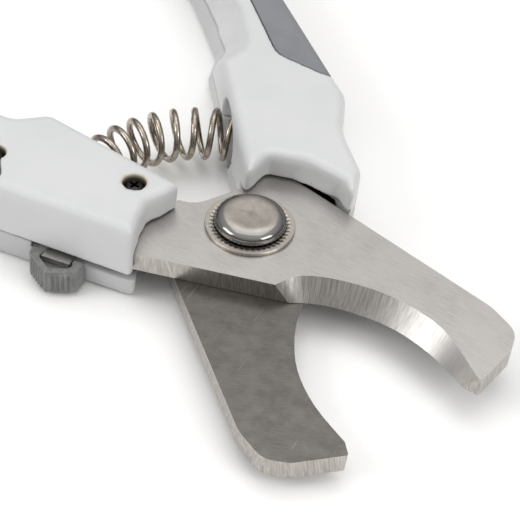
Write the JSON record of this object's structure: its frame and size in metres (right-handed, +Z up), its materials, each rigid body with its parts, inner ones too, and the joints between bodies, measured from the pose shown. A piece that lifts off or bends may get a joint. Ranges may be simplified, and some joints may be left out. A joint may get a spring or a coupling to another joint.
{
  "type": "scissor nail clipper",
  "caption": "Spring-opened scissor nail clipper for pets, with notched blades on a pivot, shell handles with soft grips and a sliding lock.",
  "frame": {"origin": "on the pivot axis, on the flat underside of the pivot nut, level with the undersides of the handles", "axes": "+X towards the jaws along the middle line between the open blades, +Y towards the finger handle, +Z up along the pivot"},
  "size_m": [0.1453, 0.0988, 0.013],
  "materials": {
    "blade_steel": "ground and brushed stainless steel",
    "polished_steel": "polished stainless steel",
    "washer_steel": "nickel-plated steel, satin",
    "spring_steel": "bright nickel-plated spring wire",
    "handle_plastic": "satin moulded plastic, cool white",
    "soft_grip": "matte soft-touch rubber, mid grey",
    "knob_plastic": "semi-gloss moulded plastic, grey",
    "latch_steel": "plain steel strip",
    "black_screw": "blackened steel, oily gloss"
  },
  "bodies": {
    "lock_handle": {"upper_blade": "blade_steel", "pivot_bolt": "polished_steel", "serrated_washer": "washer_steel", "plain_washer": "washer_steel", "pivot_nut": "polished_steel", "return_spring": "spring_steel", "lock_handle_upper_shell": "handle_plastic", "lock_handle_lower_shell": "handle_plastic", "lock_handle_upper_grip": "soft_grip", "lock_handle_lower_grip": "soft_grip", "lock_detent_spring": "latch_steel", "lock_handle_front_screw": "black_screw", "lock_handle_middle_screw": "black_screw", "lock_handle_rear_screw": "black_screw"},
    "finger_handle": {"lower_blade": "blade_steel", "finger_handle_upper_shell": "handle_plastic", "finger_handle_lower_shell": "handle_plastic", "finger_handle_upper_grip": "soft_grip", "finger_handle_lower_grip": "soft_grip", "finger_handle_front_screw": "black_screw", "finger_handle_middle_screw": "black_screw", "finger_handle_rear_screw": "black_screw"},
    "lock_slider": {"lock_plate": "latch_steel", "lock_knob": "knob_plastic"}
  },
  "joints": [
    {"name": "squeeze", "type": "hinge", "parent": "lock_handle", "child": "finger_handle", "pos_m": [0, 0, 0.005], "axis": [0, 0, 1], "range_deg": [0, 37], "stiffness_Nm_per_rad": 0.3, "springref_deg": -17.19, "deforming": ["return_spring"]},
    {"name": "lock_slide", "type": "slide", "parent": "lock_handle", "child": "lock_slider", "axis": [0.809, 0.5878, 0], "range_m": [0, 0.0055]}
  ]
}
